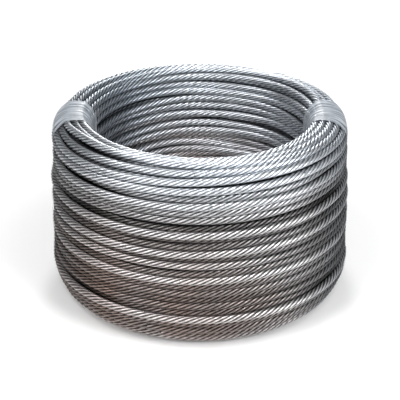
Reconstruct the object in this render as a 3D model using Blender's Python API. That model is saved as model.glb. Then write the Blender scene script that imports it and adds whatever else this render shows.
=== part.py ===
"""A flat-lying coil of galvanised wire rope, held together by two wraps of clear stretch film.

The coil is one turned ring. Its outline carries a flat-topped ridge for each turn of rope
that shows, on both ends, on the outside and in the bore. Each film is a thin closed band
round the ring's section. The ring is pinched where a film pulls it together, so the films
lie inside the faces that the coil rests on.

Metres, +Z up. The origin is on the floor, on the coil's axis, and -Y is the front.
"""

import math
from typing import NamedTuple

import bmesh
import bpy
from mathutils import Vector

# The rope and the coil that it is wound into
ROPE_DIAMETER = 0.006
COIL_OUTER_DIAMETER = 0.250
BORE_DIAMETER = 0.170
COIL_HEIGHT = 0.150

# How far the outside leans in as it rises
OUTER_LEAN = math.radians(3)

# Rounding of the four corners of the wound section
TOP_OUTER_ROUNDING = 0.018
TOP_BORE_ROUNDING = 0.0145
BASE_OUTER_ROUNDING = 0.022
BASE_BORE_ROUNDING = 0.010

# The ridge that stands for one turn: its flat crest, and the groove beside it
CREST_WIDTH = 0.003
GROOVE_DEPTH = 0.0012

# The two films, placed by their angle in front of the coil's left and right sides
FILM_WIDTH = 0.048
FILM_THICKNESS = 0.0005
FILM_AZIMUTH = math.radians(5)
FILM_CLEARANCE = 0.0003

# How far a film pulls the turns in, and the stretch beside it over which they spread again
FILM_PINCH = 0.0012
PINCH_RUN = 0.022

# How finely round shapes are divided
STATION_STEP = math.radians(16)
FILM_CORNER_STEPS = 8

QUARTER_TURN = math.pi / 2
SHARP_ANGLE = math.radians(50)


class Run(NamedTuple):
    """One straight or round run of the section's outline; a straight run has no radius."""

    start: Vector
    heading: float
    length: float
    radius: float

    def heading_at(self, distance):
        return self.heading + (distance / self.radius if self.radius else 0.0)

    def outward_at(self, distance):
        heading = self.heading_at(distance)
        return Vector((math.sin(heading), -math.cos(heading)))

    def point_at(self, distance):
        if not self.radius:
            return self.start + distance * Vector((math.cos(self.heading), math.sin(self.heading)))
        centre = self.start - self.radius * self.outward_at(0.0)
        return centre + self.radius * self.outward_at(distance)


def corner_roundings():
    """The corners' radii from base outer to base bore, less where a side has no room for them.

    Half a crest stays flat between two corners.
    """
    across = (COIL_OUTER_DIAMETER - BORE_DIAMETER) / 2 - CREST_WIDTH / 2
    upright = COIL_HEIGHT - CREST_WIDTH / 2
    room = min(
        1.0,
        (across - COIL_HEIGHT * math.tan(OUTER_LEAN)) / (TOP_OUTER_ROUNDING + TOP_BORE_ROUNDING),
        across / (BASE_OUTER_ROUNDING + BASE_BORE_ROUNDING),
        upright / (BASE_OUTER_ROUNDING + TOP_OUTER_ROUNDING),
        upright / (BASE_BORE_ROUNDING + TOP_BORE_ROUNDING),
    )
    radii = (BASE_OUTER_ROUNDING, TOP_OUTER_ROUNDING, TOP_BORE_ROUNDING, BASE_BORE_ROUNDING)
    return [room * radius for radius in radii]


def section_runs():
    """The section's outline, anticlockwise from the middle of the flat that the coil rests on.

    Points are (distance from the coil's axis, height above the floor).
    """
    base_outer, top_outer, top_bore, base_bore = corner_roundings()
    bore_wall = BORE_DIAMETER / 2
    outer_wall = COIL_OUTER_DIAMETER / 2
    lean_in, lean_up = math.sin(OUTER_LEAN), math.cos(OUTER_LEAN)
    flat = outer_wall - base_outer - bore_wall - base_bore
    wall = (COIL_HEIGHT - base_outer - top_outer + (top_outer - base_outer) * lean_in) / lean_up
    top_corner = outer_wall - base_outer * (1.0 - lean_up) - wall * lean_in - top_outer * lean_up
    steps = [
        (flat / 2, base_outer, QUARTER_TURN + OUTER_LEAN),
        (wall, top_outer, QUARTER_TURN - OUTER_LEAN),
        (top_corner - bore_wall - top_bore, top_bore, QUARTER_TURN),
        (COIL_HEIGHT - top_bore - base_bore, base_bore, QUARTER_TURN),
        (flat / 2, 0.0, 0.0),
    ]
    runs = []
    start = Vector((bore_wall + base_bore + flat / 2, 0.0))
    heading = 0.0
    for straight_length, corner_radius, turn in steps:
        runs.append(Run(start, heading, straight_length, 0.0))
        start = runs[-1].point_at(straight_length)
        if corner_radius:
            runs.append(Run(start, heading, corner_radius * turn, corner_radius))
            start = runs[-1].point_at(corner_radius * turn)
            heading += turn
    return runs


def outline_length(runs):
    return sum(run.length for run in runs)


def outline_point(runs, distance, depth):
    """The point this far along the outline and this deep under it."""
    distance %= outline_length(runs)
    for run in runs:
        if distance <= run.length:
            break
        distance -= run.length
    return run.point_at(distance) - depth * run.outward_at(distance)


def rope_section(inset):
    """The coil's outline, this far inside its full size, with a flat crest for each turn."""
    runs = section_runs()
    turns = round(outline_length(runs) / ROPE_DIAMETER)
    pitch = outline_length(runs) / turns
    points = []
    for turn in range(turns):
        middle = turn * pitch
        points.append(outline_point(runs, middle - CREST_WIDTH / 2, inset))
        points.append(outline_point(runs, middle + CREST_WIDTH / 2, inset))
        points.append(outline_point(runs, middle + pitch / 2, inset + GROOVE_DEPTH))
    return points


def film_section(inset):
    """A film's outline, straight along the sides and bent round the section's corners."""
    points = []
    for run in section_runs():
        if run.radius:
            for step in range(FILM_CORNER_STEPS + 1):
                distance = run.length * step / FILM_CORNER_STEPS
                points.append(run.point_at(distance) - inset * run.outward_at(distance))
    return points


def film_half_angle():
    return FILM_WIDTH / COIL_OUTER_DIAMETER


def even_arc(first, last):
    """The angles between two stations, with one halfway, in steps near STATION_STEP."""
    steps = 2 * math.ceil((last - first) / STATION_STEP / 2)
    return [first + (last - first) * step / steps for step in range(1, steps)]


def coil_stations():
    """The angles at which the coil's section is set, each with its inset."""
    half = film_half_angle()
    reach = half + PINCH_RUN / (COIL_OUTER_DIAMETER / 2)
    under_film = [(-reach, 0.0), (-half, FILM_PINCH), (0.0, FILM_PINCH), (half, FILM_PINCH), (reach, 0.0)]
    right = -FILM_AZIMUTH
    left = math.pi + FILM_AZIMUTH
    stations = [(right + angle, inset) for angle, inset in under_film]
    stations += [(angle, 0.0) for angle in even_arc(right + reach, left - reach)]
    stations += [(left + angle, inset) for angle, inset in under_film]
    stations += [(angle, 0.0) for angle in even_arc(left + reach, 2 * math.pi + right - reach)]
    return stations


def ring_of_vertices(mesh, section, azimuth):
    """The section's points, set in the half-plane at this angle round the coil's axis."""
    across = Vector((math.cos(azimuth), math.sin(azimuth), 0.0))
    return [mesh.verts.new(radius * across + Vector((0.0, 0.0, height))) for radius, height in section]


def join_rings(mesh, first, second):
    """Quads between two closed rings of as many vertices."""
    for index in range(len(first)):
        following = (index + 1) % len(first)
        mesh.faces.new((first[index], first[following], second[following], second[index]))


def make_material(name, colour, roughness, metallic, alpha):
    material = bpy.data.materials.new(name)
    material.use_nodes = True
    shader = material.node_tree.nodes["Principled BSDF"]
    shader.inputs["Base Color"].default_value = (*colour, 1.0)
    shader.inputs["Roughness"].default_value = roughness
    shader.inputs["Metallic"].default_value = metallic
    shader.inputs["Alpha"].default_value = alpha
    return material


def finish_mesh(shape, name, material):
    """The closed shape as a smooth-shaded mesh with its faces pointing out."""
    bmesh.ops.recalc_face_normals(shape, faces=shape.faces)
    mesh = bpy.data.meshes.new(name)
    shape.to_mesh(mesh)
    shape.free()
    mesh.materials.append(material)
    mesh.shade_smooth()
    mesh.set_sharp_from_angle(angle=SHARP_ANGLE)
    return mesh


def place(name, mesh):
    item = bpy.data.objects.new(name, mesh)
    bpy.context.collection.objects.link(item)
    return item


def make_coil_mesh(material):
    """The ring of rope, closed round the axis."""
    shape = bmesh.new()
    rings = [ring_of_vertices(shape, rope_section(inset), azimuth) for azimuth, inset in coil_stations()]
    for index, ring in enumerate(rings):
        join_rings(shape, ring, rings[(index + 1) % len(rings)])
    return finish_mesh(shape, "rope_coil", material)


def make_film_mesh(material):
    """One film, centred on +X: an outer and an inner skin, joined along both edges."""
    inner_inset = FILM_PINCH - FILM_CLEARANCE
    inner_section = film_section(inner_inset)
    outer_section = film_section(inner_inset - FILM_THICKNESS)
    half = film_half_angle()
    shape = bmesh.new()
    outer = [ring_of_vertices(shape, outer_section, angle) for angle in (-half, 0.0, half)]
    inner = [ring_of_vertices(shape, inner_section, angle) for angle in (half, 0.0, -half)]
    loop = outer + inner
    for index, ring in enumerate(loop):
        join_rings(shape, ring, loop[(index + 1) % len(loop)])
    return finish_mesh(shape, "film_wrap", material)


def clear_scene():
    for item in list(bpy.data.objects):
        bpy.data.objects.remove(item, do_unlink=True)


def main():
    clear_scene()
    steel = make_material("galvanised_steel", (0.52, 0.53, 0.54), 0.38, 1.0, 1.0)
    film = make_material("stretch_film", (0.86, 0.89, 0.91), 0.30, 0.0, 0.6)
    coil = place("rope_coil", make_coil_mesh(steel))
    film_mesh = make_film_mesh(film)
    for side, azimuth in (("right", -FILM_AZIMUTH), ("left", math.pi + FILM_AZIMUTH)):
        wrap = place(f"film_wrap_{side}", film_mesh)
        wrap.rotation_euler.z = azimuth
        wrap.parent = coil


main()
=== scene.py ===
"""The looks of the coil of wire rope: its laid strands, its loose turns and its two film wraps."""
import math
from typing import NamedTuple

import bpy
import numpy as np
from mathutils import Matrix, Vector


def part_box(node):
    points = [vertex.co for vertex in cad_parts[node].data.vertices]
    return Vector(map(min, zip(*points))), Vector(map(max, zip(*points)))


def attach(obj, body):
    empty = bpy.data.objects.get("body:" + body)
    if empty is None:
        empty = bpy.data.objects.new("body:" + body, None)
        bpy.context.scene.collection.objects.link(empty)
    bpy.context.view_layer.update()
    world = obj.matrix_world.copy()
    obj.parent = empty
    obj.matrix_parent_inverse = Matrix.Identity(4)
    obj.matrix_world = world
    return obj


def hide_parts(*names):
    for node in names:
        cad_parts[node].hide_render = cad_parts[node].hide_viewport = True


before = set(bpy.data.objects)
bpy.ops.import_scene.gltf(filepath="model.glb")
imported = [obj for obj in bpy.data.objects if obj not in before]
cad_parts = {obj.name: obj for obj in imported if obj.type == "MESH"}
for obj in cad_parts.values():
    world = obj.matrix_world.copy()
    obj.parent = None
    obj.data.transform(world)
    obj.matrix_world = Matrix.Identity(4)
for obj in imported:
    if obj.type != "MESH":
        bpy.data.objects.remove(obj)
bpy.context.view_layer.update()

MM = 0.001
FULL_TURN = 2 * math.pi
QUARTER_TURN = math.pi / 2

# The rope, and how many single wires show across one of its strands
ROPE_DIAMETER = 6 * MM
ROPE_RADIUS = ROPE_DIAMETER / 2
LAY_LENGTH = 34 * MM
STRANDS = 6
WIRES_ACROSS = 3.5

# The rope's section across one strand: share of the strand, radius in mm, and its painted highlight, from 0
# for painted shade in the groove to 1 on the crest
FINE_STRAND = ((0.0, 3.0, 1.0), (0.27, 2.72, 0.7), (0.5, 1.95, 0.0), (0.73, 2.72, 0.7))
PLAIN_STRAND = ((0.0, 3.0, 1.0), (0.5, 2.1, 0.0))
HIDDEN_STRAND = ((0.0, 2.9, 0.6),)

# How far apart the rings of points along the rope stand: in the shell, right behind it, deeper in
SHELL_STEP, BENEATH_STEP, HIDDEN_STEP = 3 * MM, 5 * MM, 8 * MM

# The coil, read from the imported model
OUTER_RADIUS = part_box("rope_coil")[1].y
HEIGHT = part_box("rope_coil")[1].z
BORE_RADIUS = min(math.hypot(v.co.x, v.co.y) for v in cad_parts["rope_coil"].data.vertices)
MIDDLE_RADIUS = (OUTER_RADIUS + BORE_RADIUS) / 2

# The wound section's lean outside, and its rounding: base outer, top outer, top bore, base bore
OUTER_LEAN = math.radians(3)
ROUNDINGS = (22 * MM, 18 * MM, 14.5 * MM, 10 * MM)
LEAST_ROUNDING = 1 * MM
CORNER_STEPS = 24
OUTLINE_POINTS, COARSE_POINTS = 900, 400

# The film wraps, by their angle round the coil from +X
FILM_AZIMUTHS = {"film_wrap_right": math.radians(-5), "film_wrap_left": math.radians(185)}

# How far in front of that angle a film starts, how far it spans, and how much more it spans outside
FILM_FRONT = math.radians(9.5)
FILM_SPAN = math.radians(22)
FILM_FLARE = math.radians(3)

# How far a film pulls the turns in, and the angle over which they spread again beside it
FILM_PINCH = 1.2 * MM
FILM_REACH = math.radians(17)

# The film's mesh: its points each way, how it is drawn tight, and how far it lies off the turns and the floor
FILM_AROUND, FILM_ACROSS = 420, 40
FILM_TIGHTENING = 45
FILM_LIFT = 0.15 * MM
FILM_OFF_FLOOR = 0.1 * MM
FILM_RIPPLE, FILM_RIPPLES, FILM_SEED = 0.12 * MM, 4, 7

# Which turns a film touches: how near they lie along it and across it, and how it curves over each
COVER_ALONG, COVER_ACROSS, COVER_CURVE = 0.8 * ROPE_DIAMETER, 2 * ROPE_DIAMETER, 0.35

# How milky the film is outside, how much more it is in the bore, and the width over which that changes
OUTSIDE_MILK, BORE_MILK, MILK_CHANGE = 0.13, 0.63, 16 * MM

# How far down from the top the film's full milk begins to fade in, and over what height
TOP_MILK_DEPTH, TOP_MILK_RUN = 17 * MM, 13 * MM

# How finely the turns are laid out round the coil, starting under the right film
FIRST_AZIMUTH = FILM_AZIMUTHS["film_wrap_right"]
STATIONS = 150
POINTS_PER_STATION = 8

# The turns that show outside, upward at the front: height and how far each stands out, in millimetres
OUTSIDE_ROWS = (
    (29.0, 0.9), (34.8, -2.6), (40.0, -1.2), (45.0, -2.2), (49.8, -1.2), (55.2, -2.4),
    (61.2, 1.0), (67.2, -1.7), (73.6, -1.2), (78.8, -3.0),
    (84.0, 1.0), (89.6, -1.4), (93.8, -2.8),
    (98.8, 0.9), (103.0, -3.0), (110.4, -0.9), (115.6, -0.4),
    (121.0, 1.2), (127.0, -2.4), (132.4, 0.5), (139.0, 0.2),
)
# The turns that show in the bore, downward at the back
BORE_ROWS = (
    (137.2, 0.5), (131.2, 0.3), (122.6, 0.5), (115.4, -0.4), (109.6, 0.2), (104.6, -4.2),
    (99.6, 0.9), (94.4, 0.8), (89.0, -2.2), (83.0, -2.8), (78.6, -1.4), (74.6, 0.9),
    (69.4, -0.4), (63.8, -2.6), (58.4, -1.2), (52.6, 0.3), (46.6, -0.5), (40.6, 0.3),
    (34.2, -0.5), (27.6, 0.2), (20.8, -0.4), (13.4, 0.0),
)
# The turns between them, spread evenly, so that their heights aren't used
BASE_ROWS = ((0, 0.0), (0, -0.4), (0, -1.4), (0, -2.4), (0, -2.4), (0, -1.6))
TOP_ROWS = ((0, -0.4), (0, 0.3), (0, -0.4), (0, 0.2), (0, -0.3))
LAST_ROWS = ((0, 0.0),)
SHELL_ROWS = BASE_ROWS + OUTSIDE_ROWS + TOP_ROWS + BORE_ROWS + LAST_ROWS
SHELL_LEVELS = np.array([level for _, level in SHELL_ROWS]) * MM
FIRST_OUTSIDE = len(BASE_ROWS)
FIRST_TOP = FIRST_OUTSIDE + len(OUTSIDE_ROWS)
FIRST_BORE = FIRST_TOP + len(TOP_ROWS)

# How much of a turn lies before the back and before the front
BACK_SHARE = (math.radians(90) - FIRST_AZIMUTH) / FULL_TURN
FRONT_SHARE = (math.radians(270) - FIRST_AZIMUTH) / FULL_TURN

# The turns above the proud ones, and the stretches where they drop away: angle, half width, depth
DIP_TURNS = (7, 13, 17, 20, 24)
DIPS = ((math.radians(222), math.radians(17), 2.0 * MM), (math.radians(325), math.radians(10), 1.8 * MM))

# The pieces of the shell, each with the first turn of the next one
LOWER_OUTSIDE_TURNS, UPPER_BORE_TURNS = 10, 12
PIECES = (
    ("turns_base_outer", FIRST_OUTSIDE),
    ("turns_outside_lower", FIRST_OUTSIDE + LOWER_OUTSIDE_TURNS),
    ("turns_outside_upper", FIRST_TOP),
    ("turns_top", FIRST_BORE),
    ("turns_bore_upper", FIRST_BORE + UPPER_BORE_TURNS),
    ("turns_bore_lower", len(SHELL_ROWS)),
)


class Layer(NamedTuple):
    """A layer of turns: how many, how deep, its seed, and how far they stray along it and out of it."""

    turns: int
    depth: float
    seed: int
    sway: float
    rise: float


# The shell, and the layers behind it down to the last turns in the middle of the section
SHELL = Layer(len(SHELL_ROWS), 3.4 * MM, 11, 2.6 * MM, 0.6 * MM)
BENEATH = Layer(45, 9.8 * MM, 23, 1.5 * MM, 0.3 * MM)
INNER = Layer(38, 14.4 * MM, 31, 1.0 * MM, 0.0)
CORE = Layer(14, 18.8 * MM, 37, 0.5 * MM, 0.0)

# How quickly a turn strays, in waves for each turn of the coil
SWAY_RATES = (0.31, 0.57, 1.13, 1.71, 2.23)
RISE_RATES = (0.23, 0.61, 1.07, 1.43)

# The bore's stretch of the way round the section, where turns stray most, and how much they do elsewhere
BORE_START, BORE_START_RUN = 0.42, 0.1
BORE_END, BORE_END_RUN = 0.92, 0.06
LEAST_SWAY, LEAST_RISE = 0.3, 0.4

# How much of its level a turn of the shell keeps where a film pulls it in
LEAST_LEVEL = 0.3

# How near two turns' centres come, with the strands of one in the grooves of the other
NEAREST = 5.6 * MM

# The rounds in which turns are pushed clear, and how often and how widely near turns are looked for
ROUNDS, ROUNDS_PER_SEARCH, SEARCH_STRIDE = 150, 30, 6
SEARCH_DISTANCE = 1.6 * ROPE_DIAMETER

# How hard a push is, how much of it is kept each round in the first half, and the smoothing before it
PUSH, PULL_BACK = 1.4, 0.99
FIRST_SMOOTHING = 6
TINY = 1e-6

# How far each layer gives way to the one before it
GIVE = (1, 3, 9, 27)

# The depth under the outline at which a turn counts as wholly sunk
SUNK_DEPTH = 4 * MM

WHITE = (1.0, 1.0, 1.0)

# The wire's colour from the painted shade in the grooves between its strands to the painted highlights on
# their crests, in shade and where painted light falls from above
WIRE_IN_SHADE = ((0.0, (0.012, 0.012, 0.013)), (0.62, (0.17, 0.17, 0.175)), (1.0, (0.88, 0.88, 0.895)))
WIRE_IN_PAINTED_LIGHT = ((0.0, (0.11, 0.128, 0.15)), (0.62, (0.47, 0.505, 0.55)), (1.0, (0.90, 0.94, 0.99)))

# What tones it down: painted shade by how far a turn is sunk and by how far it lies to the side, and small
# dull spots in the wire itself
SUNK_PAINTED_SHADES = (
    (0.05, WHITE), (0.25, (0.46, 0.46, 0.46)),
    (0.6, (0.34, 0.34, 0.34)), (0.95, (0.07, 0.07, 0.07)),
)
SIDE_PAINTED_SHADES = ((0.078, WHITE), (0.116, (0.5, 0.52, 0.54)))
SPOT_SHADES = ((0.33, (0.72, 0.72, 0.72)), (0.5, WHITE))
# Painted shade at the back left of the bore
BACK_LEFT_SHADE_TINT = (0.56, 0.60, 0.64)
# Painted brown reflection on the turns low on the left
BROWN_TINT = (1.0, 0.70, 0.57)

# Where each look of the wire (its painted light, painted shade, painted brown reflection and matt sides) is
# absent and where it is full, in metres from the coil's axis or the floor
SUNK_HEIGHTS = (-12 * MM, 28 * MM)
BORE_DISTANCES = (115 * MM, 98.3 * MM)
PAINTED_LIGHT_HEIGHTS = (106.3 * MM, 147.9 * MM)
PAINTED_LIGHT_SIDE = (-200 * MM, 0.0)
BACK_LEFT_SHADE_SIDE, BACK_LEFT_SHADE_BACK = (0.0, -62.5 * MM), (-8 * MM, 32 * MM)
BROWN_HEIGHTS = (131.8 * MM, 40.9 * MM)
BROWN_SIDE = (100 * MM, -25 * MM)
MATT_SIDE = (82.1 * MM, 117.9 * MM)

# The same for the patches of painted brown reflection, by a noise's value and by how far a turn is sunk into
# shade
BROWN_PATCHES = (0.056, 0.611)
BROWN_SUNK = (-0.375, 0.458)

# How much painted light the bore takes, and how much less the painted shade of sunk turns shows where painted
# light falls
BORE_PAINTED_LIGHT, SUNK_SHADE_UNDER_LIGHT = 0.92, 0.8

# The scales of the wire's patches, spots and uneven roughness
PATCH_SCALE, SPOT_SCALE, ROUGH_SCALE = 18, 300, 160
FINE_DETAIL = 3

# The wire's roughness: its least, how much it varies, and how much it gains at the sides
LEAST_ROUGHNESS, ROUGHNESS_RANGE, MATT_ROUGHNESS = 0.20, 0.25, 0.26
WIRE_METALLIC = 0.9
WIRE_BUMP, WIRE_RELIEF = 0.3, 0.08 * MM

# The film's streaks round the section and across the film, and its look by their noise's value
STREAKS = {"X": 12.0, "Y": 24.0}
STREAK_DETAIL = 4
FILM_SHADES = ((0.35, (0.21, 0.24, 0.28)), (0.66, (0.50, 0.54, 0.585)))
FILM_CLOUD = (0.116, 0.642)
FILM_ROUGHNESS = 0.42
FILM_BUMP, FILM_RELIEF = 0.45, 0.5 * MM

# The camera: its elevation, its distance from the point it looks at, and its focal length in pixels
CAMERA_ELEVATION = math.radians(27.35)
CAMERA_DISTANCE = 0.85
CAMERA_AIM = (0.0, 0.0, 66.5 * MM)
FOCAL_PIXELS, PHOTO_PIXELS = 1018, 400
SENSOR_WIDTH = 36

# The lamps: angle round the coil from +X, elevation, watts
LAMPS = (
    ("front", 270, 30, 1.5), ("left_low", 225, 30, 5.6), ("back", 90, 30, 7.0),
    ("right_low", 315, 30, 8.0), ("left_high", 225, 60, 4.4), ("right_high", 315, 60, 4.0),
)
LAMP_DISTANCE, LAMP_SIZE = 1.2, 0.5
LAMP_AIM = (0.0, 0.0, 80 * MM)

# The sky's brightness, from the horizon at 0 to overhead at 1
SKY_SHADES = ((0.0, 0.5), (0.15, 0.4), (0.45, 0.12), (1.0, 0.35))

# The floor, in metres from its middle to its edge
FLOOR_REACH = 4.0
FLOOR_COLOUR = (0.92, 0.92, 0.92)
FLOOR_ROUGHNESS = 0.8


def smooth_step(value):
    value = np.clip(value, 0, 1)
    return value * value * (3 - 2 * value)


def spaced(points, count):
    """The closed line again, as this many even steps."""
    along = np.concatenate([[0], np.cumsum(np.hypot(*np.diff(points, axis=0).T))])
    at = np.linspace(0, along[-1], count + 1)
    return np.stack([np.interp(at, along, points[:, axis]) for axis in range(2)], 1)


def ring_length(ring):
    return np.hypot(*np.diff(ring, axis=0).T).sum()


def outline(inset, count=OUTLINE_POINTS):
    """Evenly spaced points round the section, this far inside it, from its resting flat outward."""
    radii = [max(radius - inset, LEAST_ROUNDING) for radius in ROUNDINGS]
    low = [inset + radius for radius in radii]
    high = [HEIGHT - inset - radius for radius in radii]
    lean_in, lean_up = math.sin(OUTER_LEAN), math.cos(OUTER_LEAN)

    def outer_centre(radius, height):
        depth = ROUNDINGS[0] - inset - radius - (height - ROUNDINGS[0]) * lean_in
        return OUTER_RADIUS - ROUNDINGS[0] + depth / lean_up

    corners = (
        (outer_centre(radii[0], low[0]), low[0], radii[0], -QUARTER_TURN, OUTER_LEAN),
        (outer_centre(radii[1], high[1]), high[1], radii[1], OUTER_LEAN, QUARTER_TURN),
        (BORE_RADIUS + inset + radii[2], high[2], radii[2], QUARTER_TURN, 2 * QUARTER_TURN),
        (BORE_RADIUS + inset + radii[3], low[3], radii[3], 2 * QUARTER_TURN, 3 * QUARTER_TURN),
    )
    points = [((corners[0][0] + corners[3][0]) / 2, inset)]
    for centre, height, radius, first, last in corners:
        for step in range(CORNER_STEPS + 1):
            angle = first + (last - first) * step / CORNER_STEPS
            points.append((centre + radius * math.cos(angle), height + radius * math.sin(angle)))
    points.append(points[0])
    return spaced(np.array(points), count)


def directions(ring):
    """The unit vectors along a closed ring at each of its points, and those that point out of it."""
    heading = np.roll(ring, -1, 0) - np.roll(ring, 1, 0)
    heading /= np.hypot(*heading.T)[:, None]
    return heading, np.stack([heading[:, 1], -heading[:, 0]], 1)


def on_outline(ring, share, depth):
    """Section points at these shares of the way round a ring, this far inside it."""
    ring = ring[:-1]
    _, normal = directions(ring)
    place = np.mod(share, 1.0) * len(ring)
    low = np.floor(place).astype(int) % len(ring)
    high = (low + 1) % len(ring)
    part = (place - np.floor(place))[:, None]
    point = ring[low] * (1 - part) + ring[high] * part
    out = normal[low] * (1 - part) + normal[high] * part
    return point - depth[:, None] * out


def waves(angle, rates, seed):
    """A smooth wandering value along the rope, about -1 to 1."""
    phases = np.random.default_rng(seed).uniform(0, FULL_TURN, len(rates))
    return sum(np.cos(rate * angle + phase) for rate, phase in zip(rates, phases)) / math.sqrt(len(rates))


def angle_off(azimuth, centre):
    return np.angle(np.exp(1j * (azimuth - centre)))


def tightness(azimuth):
    """1 where a film pulls the turns together, 0 well away from both."""
    return sum(np.exp(-((angle_off(azimuth, centre) / FILM_REACH) ** 4)) for centre in FILM_AZIMUTHS.values())


def shell_shares(turn, ring):
    """The share of the way round the section at which each place along the shell lies."""
    share = np.linspace(0, 1, len(ring))
    top = int(ring[:, 1].argmax())
    heights = np.array([height for height, _ in SHELL_ROWS]) * MM
    outside = np.arange(FIRST_OUTSIDE, FIRST_TOP)
    bore = np.arange(FIRST_BORE, len(SHELL_ROWS) - 1)
    rising = np.interp(heights[outside], ring[:top + 1, 1], share[:top + 1])
    falling = np.interp(-heights[bore], -ring[top:, 1], share[top:])
    known = np.concatenate([[0], outside + FRONT_SHARE, bore + BACK_SHARE, [len(SHELL_ROWS)]])
    return np.interp(turn, known, np.concatenate([[0], rising, falling, [1]]))


def shell_levels(turn, azimuth):
    """How far each place along the shell stands out, from the tables above."""
    whole = np.floor(turn).astype(int)
    level = SHELL_LEVELS[whole]
    for centre, width, depth in DIPS:
        near = np.exp(-((angle_off(azimuth, centre) / width) ** 2))
        level = level - np.isin(whole, DIP_TURNS) * depth * near
    return level


def lay_turns(layer, shares=None, levels=None):
    """Where each turn of one layer lies before it is pushed clear of the others."""
    turn = np.arange(layer.turns * STATIONS) / STATIONS
    angle = turn * FULL_TURN
    azimuth = FIRST_AZIMUTH + angle
    loose = 1 - tightness(azimuth)
    ring = outline(layer.depth)
    share = shares(turn, ring) if shares else turn / layer.turns
    in_bore = (smooth_step((share - BORE_START) / BORE_START_RUN)
               * (1 - smooth_step((share - BORE_END) / BORE_END_RUN)))
    sway = waves(angle, SWAY_RATES, layer.seed) * layer.sway * loose
    sway = sway * (LEAST_SWAY + (1 - LEAST_SWAY) * in_bore)
    level = waves(angle, RISE_RATES, layer.seed + 1) * layer.rise * loose
    level = level * (LEAST_RISE + (1 - LEAST_RISE) * in_bore)
    if levels:
        level = level + levels(turn, azimuth) * (LEAST_LEVEL + (1 - LEAST_LEVEL) * loose)
    return on_outline(ring, share + sway / ring_length(ring), FILM_PINCH * (1 - loose) - level)


def near_pairs(grid):
    """The turns that come near each other somewhere, by their numbers."""
    first, second = np.triu_indices(len(grid), 1)
    apart = grid[first, ::SEARCH_STRIDE] - grid[second, ::SEARCH_STRIDE]
    close = np.hypot(apart[..., 0], apart[..., 1]).min(1) < SEARCH_DISTANCE
    return first[close], second[close]


def pushes(grid, first, second, share):
    """How far each turn is pushed at each station by the turns that lie too near it."""
    apart = grid[first] - grid[second]
    far = np.maximum(np.hypot(apart[..., 0], apart[..., 1]), TINY)
    push = (np.maximum(NEAREST - far, 0) / far)[..., None] * apart
    touching = (far < NEAREST).astype(float)
    move, hits = np.zeros_like(grid), np.zeros(grid.shape[:2])
    for side, part in ((first, share), (second, share - 1)):
        np.add.at(move, side, part * push)
        np.add.at(hits, side, touching)
    return move * PUSH / np.maximum(hits, 1)[..., None]


def relax(layers):
    """Pushes turns that overlap apart in each station's section, and keeps each turn smooth."""
    counts = [len(line) // STATIONS for line in layers]
    ends = np.cumsum(counts)[:-1]
    give = np.repeat(GIVE, counts).astype(float)
    goal = np.concatenate([smoothed(line.reshape(-1, STATIONS, 2), FIRST_SMOOTHING) for line in layers])
    grid = goal.copy()
    for count in range(ROUNDS):
        if count % ROUNDS_PER_SEARCH == 0:
            first, second = near_pairs(grid)
            share = (give[first] / (give[first] + give[second]))[:, None, None]
        grid += pushes(grid, first, second, share)
        keep = PULL_BACK if count < ROUNDS / 2 else 1.0
        grid = goal + np.concatenate([smoothed(part, 1) for part in np.split(grid - goal, ends)]) * keep
        grid[..., 1] = np.maximum(grid[..., 1], ROPE_RADIUS)
    return [part.reshape(-1, 2) for part in np.split(grid, ends)]


def smoothed(turns, passes):
    line = turns.reshape(-1, 2)
    for _ in range(passes):
        padded = np.concatenate([line[:1], line, line[-1:]])
        line = (padded[:-2] + 2 * padded[1:-1] + padded[2:]) / 4
    return line.reshape(turns.shape)


def route(chain, step_length):
    """The rope's centreline at even steps, how far along each point is, and its turn."""
    count = len(chain)
    place = np.linspace(0, count - 1, count * POINTS_PER_STATION)
    low = np.clip(np.floor(place).astype(int), 0, count - 2)
    part = (place - low)[:, None]
    before, after = chain[np.maximum(low - 1, 0)], chain[np.minimum(low + 2, count - 1)]
    start, end = chain[low], chain[low + 1]
    leave, arrive = (end - before) / 2, (after - start) / 2
    square, cube = part ** 2, part ** 3
    section = ((2 * cube - 3 * square + 1) * start + (cube - 2 * square + part) * leave
               + (3 * square - 2 * cube) * end + (cube - square) * arrive)
    azimuth = FIRST_AZIMUTH + place * FULL_TURN / STATIONS
    line = np.stack([section[:, 0] * np.cos(azimuth), section[:, 0] * np.sin(azimuth), section[:, 1]], 1)
    along = np.concatenate([[0], np.cumsum(np.linalg.norm(np.diff(line, axis=0), axis=1))])
    at = np.linspace(0, along[-1], int(along[-1] / step_length) + 1)
    points = np.stack([np.interp(at, along, line[:, axis]) for axis in range(3)], 1)
    return points, at, np.interp(at, along, place / STATIONS)


def mesh_object(name, points, quads, caps=()):
    """A smooth-shaded mesh of these quads, with these end faces."""
    corners = np.concatenate([quads.ravel(), *caps]).astype(np.int32)
    sizes = [4] * len(quads) + [len(cap) for cap in caps]
    starts = np.concatenate([[0], np.cumsum(sizes)[:-1]]).astype(np.int32)
    mesh = bpy.data.meshes.new(name)
    mesh.vertices.add(len(points))
    mesh.vertices.foreach_set("co", points.astype(np.float32).ravel())
    mesh.loops.add(len(corners))
    mesh.loops.foreach_set("vertex_index", corners)
    mesh.polygons.add(len(starts))
    mesh.polygons.foreach_set("loop_start", starts)
    mesh.update(calc_edges=True)
    mesh.shade_smooth()
    item = bpy.data.objects.new(name, mesh)
    bpy.context.scene.collection.objects.link(item)
    return item


def add_places(item, name, places):
    """Two coordinates for each face corner of a mesh, for its material."""
    item.data.uv_layers.new(name=name).data.foreach_set("uv", places.astype(np.float32).ravel())


def add_values(item, name, values):
    """A number for each point of a mesh, for its material."""
    layer = item.data.attributes.new(name, "FLOAT", "POINT")
    layer.data.foreach_set("value", values.astype(np.float32))


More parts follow.
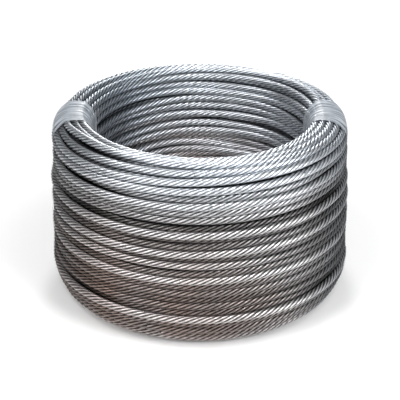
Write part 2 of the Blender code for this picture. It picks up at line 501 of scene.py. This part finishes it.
def sunk(line):
    """How far each point's rope lies under the coil's outline, as a share of SUNK_DEPTH."""
    ring = outline(ROPE_RADIUS, COARSE_POINTS)
    heading = np.diff(ring, axis=0)
    out = np.stack([heading[:, 1], -heading[:, 0]], 1) / np.hypot(*heading.T)[:, None]
    place = np.stack([np.hypot(line[:, 0], line[:, 1]), line[:, 2]], 1)
    nearest = [int(np.hypot(*(ring[:-1] - point).T).argmin()) for point in place]
    depth = -((place - ring[nearest]) * out[nearest]).sum(1)
    return np.clip(depth / SUNK_DEPTH, 0, 1)


def strand_shares(strand):
    """Where the points of one ring lie round the rope, counted in strands."""
    return np.array([index + point[0] for index in range(STRANDS) for point in strand])


def rope_points(line, along, strand):
    """Rings of points round the rope's line that turn with the left-hand lay of its strands."""
    radii = np.array([point[1] * MM for point in strand] * STRANDS)
    tangent = np.gradient(line, axis=0)
    tangent /= np.linalg.norm(tangent, axis=1)[:, None]
    up = np.array([0.0, 0.0, 1.0])
    first = up - (tangent @ up)[:, None] * tangent
    first /= np.linalg.norm(first, axis=1)[:, None]
    second = np.cross(tangent, first)
    turned = strand_shares(strand)[None, :] * FULL_TURN / STRANDS - (FULL_TURN * along / LAY_LENGTH)[:, None]
    spokes = np.cos(turned)[..., None] * first[:, None, :] + np.sin(turned)[..., None] * second[:, None, :]
    return (line[:, None, :] + radii[None, :, None] * spokes).reshape(-1, 3)


def strand_places(item, along, strand):
    """Each face corner's place along the rope, in lay lengths, and round it, in strands."""
    shares = strand_shares(strand)
    around, steps = len(shares), len(along) - 1
    edges = np.append(shares, STRANDS)
    near = np.arange(around)
    across = edges[np.stack([near, near + 1, near + 1, near], -1)]
    ring = np.repeat(np.arange(steps), around * 4) + np.tile([0, 0, 1, 1], around * steps)
    places = np.zeros((len(item.data.loops), 2), np.float32)
    places[:len(ring), 0] = along[ring] / LAY_LENGTH
    places[:len(ring), 1] = np.tile(across.ravel(), steps)
    return places


def rope_mesh(name, line, along, strand):
    """A tube of laid strands along this line, with what its material asks for."""
    around = len(strand) * STRANDS
    rings = len(line)
    index = np.arange(rings * around).reshape(rings, around)
    following = np.roll(index, -1, 1)
    quads = np.stack([index[:-1], following[:-1], following[1:], index[1:]], -1).reshape(-1, 4)
    item = mesh_object(name, rope_points(line, along, strand), quads, (index[0, ::-1], index[-1]))
    add_places(item, "strand", strand_places(item, along, strand))
    # Each point's share of painted highlight, 0 being painted shade in a groove
    add_values(item, "crest", np.tile([point[2] for point in strand], rings * STRANDS))
    add_values(item, "sunk", np.repeat(sunk(line), around))
    return item


class Shader:
    """A material's nodes, with short calls for the few kinds that are used here."""

    def __init__(self, name):
        self.material = bpy.data.materials.new(name)
        self.material.use_nodes = True
        self.nodes = self.material.node_tree.nodes
        self.links = self.material.node_tree.links
        self.surface = self.nodes["Principled BSDF"].inputs

    def join(self, socket, value):
        if isinstance(value, bpy.types.NodeSocket):
            self.links.new(value, socket)
        elif isinstance(value, tuple) and len(value) == 3 and socket.type == "RGBA":
            socket.default_value = (*value, 1)
        else:
            socket.default_value = value

    def place(self):
        return self.nodes.new("ShaderNodeTexCoord").outputs["Object"]

    def attribute(self, name):
        node = self.nodes.new("ShaderNodeAttribute")
        node.attribute_name = name
        return node.outputs["Fac"]

    def split(self, vector):
        node = self.nodes.new("ShaderNodeSeparateXYZ")
        self.links.new(vector, node.inputs["Vector"])
        return node.outputs

    def places(self, name):
        node = self.nodes.new("ShaderNodeUVMap")
        node.uv_map = name
        return self.split(node.outputs["UV"])

    def value(self, operation, *values, clamp=False):
        node = self.nodes.new("ShaderNodeMath")
        node.operation = operation
        node.use_clamp = clamp
        for socket, value in zip(node.inputs, values):
            self.join(socket, value)
        return node.outputs["Value"]

    def fade(self, value, absent, full):
        """0 where the value is at or beyond the first number, 1 at or beyond the second."""
        factor = 1 / (full - absent)
        return self.value("MULTIPLY_ADD", value, factor, -absent * factor, clamp=True)

    def times(self, *values):
        product = values[0]
        for value in values[1:]:
            product = self.value("MULTIPLY", product, value)
        return product

    def length(self, first, second):
        squares = [self.value("MULTIPLY", value, value) for value in (first, second)]
        return self.value("SQRT", self.value("ADD", *squares))

    def noise(self, vector, scale, detail=2.0):
        node = self.nodes.new("ShaderNodeTexNoise")
        node.inputs["Scale"].default_value = scale
        node.inputs["Detail"].default_value = detail
        self.links.new(vector, node.inputs["Vector"])
        return node.outputs["Fac"]

    def ramp(self, factor, stops):
        node = self.nodes.new("ShaderNodeValToRGB")
        elements = node.color_ramp.elements
        while len(elements) < len(stops):
            elements.new(0.5)
        for element, (position, colour) in zip(elements, stops):
            element.position = position
            element.color = (*colour, 1)
        self.links.new(factor, node.inputs["Fac"])
        return node.outputs["Color"]

    def mix(self, factor, first, second, blend="MIX"):
        node = self.nodes.new("ShaderNodeMix")
        node.data_type = "RGBA"
        node.blend_type = blend
        self.join(node.inputs[0], factor)
        self.join(node.inputs[6], first)
        self.join(node.inputs[7], second)
        return node.outputs[2]

    def tinted(self, colour, tint):
        return self.mix(1.0, colour, tint, "MULTIPLY")

    def bump(self, height, strength, distance):
        node = self.nodes.new("ShaderNodeBump")
        node.inputs["Strength"].default_value = strength
        node.inputs["Distance"].default_value = distance
        self.links.new(height, node.inputs["Height"])
        self.links.new(node.outputs["Normal"], self.surface["Normal"])


def wire_colour(steel, axes, under):
    """Painted highlights on the strands' crests and painted shade in their grooves, with painted light on the
    top and in the bore, less of it toward the left, and painted shade where turns lie sunk.

    More painted shade toward the coil's left and right sides, and at the back left of the bore.
    """
    crest = steel.attribute("crest")
    inside = steel.fade(steel.length(axes["X"], axes["Y"]), *BORE_DISTANCES)
    # Painted light from above: on the top and in the bore, and less of it toward the left
    high = steel.fade(axes["Z"], *PAINTED_LIGHT_HEIGHTS)
    painted_light = steel.value("MAXIMUM", high, steel.times(inside, BORE_PAINTED_LIGHT))
    painted_light = steel.times(painted_light, steel.fade(axes["X"], *PAINTED_LIGHT_SIDE))
    # Painted highlights on the crests and painted shade in the grooves, with lighter grooves where painted
    # light falls
    metal = steel.mix(painted_light, steel.ramp(crest, WIRE_IN_SHADE), steel.ramp(crest, WIRE_IN_PAINTED_LIGHT))
    # Painted shade on sunk turns, weaker where painted light falls
    sunk_shade = steel.mix(steel.times(painted_light, SUNK_SHADE_UNDER_LIGHT), steel.ramp(under, SUNK_PAINTED_SHADES), WHITE)
    metal = steel.tinted(metal, sunk_shade)
    # Painted shade toward the coil's left and right sides
    metal = steel.tinted(metal, steel.ramp(steel.value("ABSOLUTE", axes["X"]), SIDE_PAINTED_SHADES))
    # Painted shade at the back left of the bore
    back_left_shade = steel.times(inside, steel.fade(axes["X"], *BACK_LEFT_SHADE_SIDE), steel.fade(axes["Y"], *BACK_LEFT_SHADE_BACK))
    return steel.mix(back_left_shade, metal, steel.tinted(metal, BACK_LEFT_SHADE_TINT))


def painted_brown_and_spots(steel, metal, place, axes, under):
    """The wire's colour with a painted brown reflection in patches low on the left, strongest on turns sunk
    in shade, and with small dull spots all over.
    """
    # Painted brown reflection, low on the left and strongest on turns sunk in shade
    low = steel.fade(axes["Z"], *BROWN_HEIGHTS)
    left = steel.fade(axes["X"], *BROWN_SIDE)
    patch = steel.fade(steel.noise(place, PATCH_SCALE, FINE_DETAIL), *BROWN_PATCHES)
    brown = steel.times(low, left, patch, steel.fade(under, *BROWN_SUNK))
    metal = steel.mix(brown, metal, steel.tinted(metal, BROWN_TINT))
    return steel.tinted(metal, steel.ramp(steel.noise(place, SPOT_SCALE), SPOT_SHADES))


def wire_roughness(steel, place, axes):
    """Uneven, and rougher toward the coil's left and right sides."""
    uneven = steel.noise(place, ROUGH_SCALE, FINE_DETAIL)
    uneven = steel.value("MULTIPLY_ADD", uneven, ROUGHNESS_RANGE, LEAST_ROUGHNESS)
    matt = steel.fade(steel.value("ABSOLUTE", axes["X"]), *MATT_SIDE)
    return steel.value("MULTIPLY_ADD", matt, MATT_ROUGHNESS, uneven)


def single_wires(steel):
    """Ridges for the single wires, which run straight along the rope while the strands turn."""
    strand = steel.places("strand")
    across = steel.value("MULTIPLY_ADD", strand["X"], -float(STRANDS), strand["Y"])
    return steel.value("SINE", steel.times(across, FULL_TURN * WIRES_ACROSS))


def steel_material():
    """Galvanised wire rope, with painted highlights, painted light, painted shade, a painted brown reflection
    and small dull spots in its colour.
    """
    steel = Shader("galvanised_wire")
    place = steel.place()
    axes = steel.split(place)
    # How far each turn lies sunk, for its painted shade and the painted brown reflection
    under = steel.times(steel.attribute("sunk"), steel.fade(axes["Z"], *SUNK_HEIGHTS))
    metal = painted_brown_and_spots(steel, wire_colour(steel, axes, under), place, axes, under)
    steel.join(steel.surface["Base Color"], metal)
    steel.join(steel.surface["Roughness"], wire_roughness(steel, place, axes))
    steel.surface["Metallic"].default_value = WIRE_METALLIC
    steel.bump(single_wires(steel), WIRE_BUMP, WIRE_RELIEF)
    return steel.material


def film_material():
    """Clear stretch film in several layers, milky where its wrinkles gather."""
    film = Shader("stretch_film")
    along = film.places("wrap")
    stretched = film.nodes.new("ShaderNodeCombineXYZ")
    for axis, stretch in STREAKS.items():
        film.join(stretched.inputs[axis], film.times(along[axis], stretch))
    streaks = film.noise(stretched.outputs["Vector"], 1.0, STREAK_DETAIL)
    film.join(film.surface["Base Color"], film.ramp(streaks, FILM_SHADES))
    film.join(film.surface["Alpha"], film.times(film.fade(streaks, *FILM_CLOUD), film.attribute("milk")))
    film.surface["Roughness"].default_value = FILM_ROUGHNESS
    film.bump(streaks, FILM_BUMP, FILM_RELIEF)
    return film.material


def cover_depths(sections, ring, share):
    """How deep under the outline a tight cover of these turns' sections lies at each share."""
    place = on_outline(ring, share, np.zeros(len(share)))
    heading, out = directions(place)
    offset = sections[:, None, :] - place[None, :, :]
    along = np.einsum("tsk,sk->ts", offset, heading)
    above = np.einsum("tsk,sk->ts", offset, out)
    near = (np.abs(along) < COVER_ALONG) & (np.abs(above) < COVER_ACROSS)
    bulge = ROPE_RADIUS - COVER_CURVE * along ** 2 / ROPE_DIAMETER
    return -np.where(near, above + bulge, -1.0).max(0)


def bridged(depth):
    """The cover again, drawn tight so that it spans the grooves between the turns."""
    for _ in range(FILM_TIGHTENING):
        depth = np.minimum(depth, (np.roll(depth, 1) + np.roll(depth, -1)) / 2)
    return depth


def film_azimuth(middle, part, radius):
    """The angle of a place on a film, this share of the way from its front edge to its back edge."""
    side = -math.copysign(1, math.cos(middle))
    flare = FILM_FLARE * (radius - BORE_RADIUS) / (OUTER_RADIUS - BORE_RADIUS)
    return middle + side * (FILM_FRONT - part * (FILM_SPAN + flare))


def section_at(shell, azimuth):
    """Where the shell's turns cross the half-plane at this angle."""
    stations = shell.reshape(-1, STATIONS, 2)
    place = ((azimuth - FIRST_AZIMUTH) / FULL_TURN % 1) * STATIONS
    low = int(place) % STATIONS
    part = place - int(place)
    return (1 - part) * stations[:, low] + part * stations[:, (low + 1) % STATIONS]


def film_points(azimuth, shell, ring, share):
    """Lines of points round the section, from the film's front edge to its back edge."""
    rng = np.random.default_rng(FILM_SEED)
    lines = []
    for part in np.linspace(0, 1, FILM_ACROSS + 1):
        middle = film_azimuth(azimuth, part, MIDDLE_RADIUS)
        depth = bridged(cover_depths(section_at(shell, middle), ring, share)) - FILM_LIFT
        depth += FILM_RIPPLE * np.cos(rng.uniform(0, FULL_TURN) + FULL_TURN * FILM_RIPPLES * share)
        radius, height = on_outline(ring, share, depth).T
        angle = film_azimuth(azimuth, part, radius)
        height = np.maximum(height, FILM_OFF_FLOOR)
        lines.append(np.stack([radius * np.cos(angle), radius * np.sin(angle), height], 1))
    return np.stack(lines, 1).reshape(-1, 3)


def film_mesh(name, azimuth, shell):
    """A band round the section that lies tight on the turns, and its length once round."""
    share = np.arange(FILM_AROUND) / FILM_AROUND
    ring = outline(0.0)
    index = np.arange(FILM_AROUND * (FILM_ACROSS + 1)).reshape(FILM_AROUND, FILM_ACROSS + 1)
    following = np.roll(index, -1, 0)
    quads = np.stack([index[:, :-1], index[:, 1:], following[:, 1:], following[:, :-1]], -1).reshape(-1, 4)
    item = mesh_object(name, film_points(azimuth, shell, ring, share), quads)
    rows = np.repeat(np.arange(FILM_AROUND), FILM_ACROSS * 4) + np.tile([0, 0, 1, 1], len(quads))
    columns = np.repeat(np.arange(FILM_ACROSS), 4) + np.tile([0, 1, 1, 0], FILM_ACROSS)
    columns = np.tile(columns, FILM_AROUND)
    add_places(item, "wrap", np.stack([rows / FILM_AROUND, columns / FILM_ACROSS], 1))
    add_values(item, "milk", np.repeat(milkiness(ring, share), FILM_ACROSS + 1))
    return item, float(ring_length(ring))


def milkiness(ring, share):
    """How cloudy the film is: most on the top, less in the bore, nearly clear outside."""
    radius, height = on_outline(ring, share, np.zeros(len(share))).T
    top = smooth_step((height - HEIGHT + TOP_MILK_DEPTH) / TOP_MILK_RUN)
    in_bore = smooth_step((MIDDLE_RADIUS - radius) / MILK_CHANGE + 0.5)
    return np.maximum(top, OUTSIDE_MILK + BORE_MILK * in_bore)


def aimed(item, place, aim):
    bpy.context.scene.collection.objects.link(item)
    item.location = place
    item.rotation_euler = (Vector(aim) - Vector(place)).to_track_quat("-Z", "Y").to_euler()
    return item


def place_camera():
    camera = bpy.data.cameras.new("camera")
    camera.sensor_width = SENSOR_WIDTH
    camera.lens = SENSOR_WIDTH * FOCAL_PIXELS / PHOTO_PIXELS
    forward = CAMERA_DISTANCE * math.cos(CAMERA_ELEVATION)
    eye = (0.0, -forward, CAMERA_AIM[2] + CAMERA_DISTANCE * math.sin(CAMERA_ELEVATION))
    bpy.context.scene.camera = aimed(bpy.data.objects.new("camera", camera), eye, CAMERA_AIM)


def place_lamp(name, azimuth, elevation, power):
    """A round lamp at these angles in degrees, aimed at the coil's middle."""
    turn, rise = math.radians(azimuth), math.radians(elevation)
    flat = LAMP_DISTANCE * math.cos(rise)
    place = (flat * math.cos(turn), flat * math.sin(turn), LAMP_AIM[2] + LAMP_DISTANCE * math.sin(rise))
    light = bpy.data.lights.new(name, "AREA")
    light.shape = "DISK"
    light.size = LAMP_SIZE
    light.energy = power
    aimed(bpy.data.objects.new(name, light), place, LAMP_AIM)


def light_studio():
    """A pale sky that is darker half way up, and the lamps."""
    world = bpy.data.worlds.new("studio")
    bpy.context.scene.world = world
    world.use_nodes = True
    nodes, links = world.node_tree.nodes, world.node_tree.links
    direction = nodes.new("ShaderNodeTexCoord")
    axes = nodes.new("ShaderNodeSeparateXYZ")
    sky = nodes.new("ShaderNodeValToRGB")
    while len(sky.color_ramp.elements) < len(SKY_SHADES):
        sky.color_ramp.elements.new(0.5)
    for element, (position, value) in zip(sky.color_ramp.elements, SKY_SHADES):
        element.position = position
        element.color = (value, value, value, 1)
    links.new(direction.outputs["Generated"], axes.inputs["Vector"])
    links.new(axes.outputs["Z"], sky.inputs["Fac"])
    links.new(sky.outputs["Color"], nodes["Background"].inputs["Color"])
    for name, azimuth, elevation, power in LAMPS:
        place_lamp(name, azimuth, elevation, power)
    bpy.context.scene.view_settings.view_transform = "Standard"


def lay_floor():
    reach = FLOOR_REACH
    corners = np.array([(-reach, -reach, 0), (reach, -reach, 0), (reach, reach, 0), (-reach, reach, 0)])
    floor = mesh_object("floor", corners, np.array([[0, 1, 2, 3]]))
    paint = Shader("floor")
    paint.join(paint.surface["Base Color"], FLOOR_COLOUR)
    paint.surface["Roughness"].default_value = FLOOR_ROUGHNESS
    floor.data.materials.append(paint.material)


def dress(item, material, node):
    item.data.materials.append(material)
    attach(item, "root")
    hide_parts(node)


def lay_rope(name, line, along, strand, material):
    """One piece of the rope, with its material, attached to the root body."""
    item = rope_mesh(name, line, along, strand)
    dress(item, material, "rope_coil")


def build_rope():
    """All the turns; what is returned is where the shell's turns lie, for the films."""
    steel = steel_material()
    shell, beneath, inner, core = relax([
        lay_turns(SHELL, shell_shares, shell_levels), lay_turns(BENEATH), lay_turns(INNER), lay_turns(CORE),
    ])
    line, along, turn = route(shell, SHELL_STEP)
    start = 0
    for name, last_turn in PIECES:
        end = min(int(np.searchsorted(turn, last_turn)), len(line) - 1)
        lay_rope(name, line[start:end + 1], along[start:end + 1], FINE_STRAND, steel)
        start = end
    for name, chain, step_length, strand in (
        ("turns_beneath", beneath, BENEATH_STEP, PLAIN_STRAND),
        ("turns_inner", inner, HIDDEN_STEP, HIDDEN_STRAND),
        ("turns_core", core, HIDDEN_STEP, HIDDEN_STRAND),
    ):
        line, along, _ = route(chain, step_length)
        lay_rope(name, line, along, strand, steel)
    return shell


def build_films(shell):
    film = film_material()
    for node, azimuth in FILM_AZIMUTHS.items():
        item, length = film_mesh(node.replace("wrap", "sheet"), azimuth, shell)
        dress(item, film, node)


place_camera()
build_films(build_rope())
light_studio()
lay_floor()
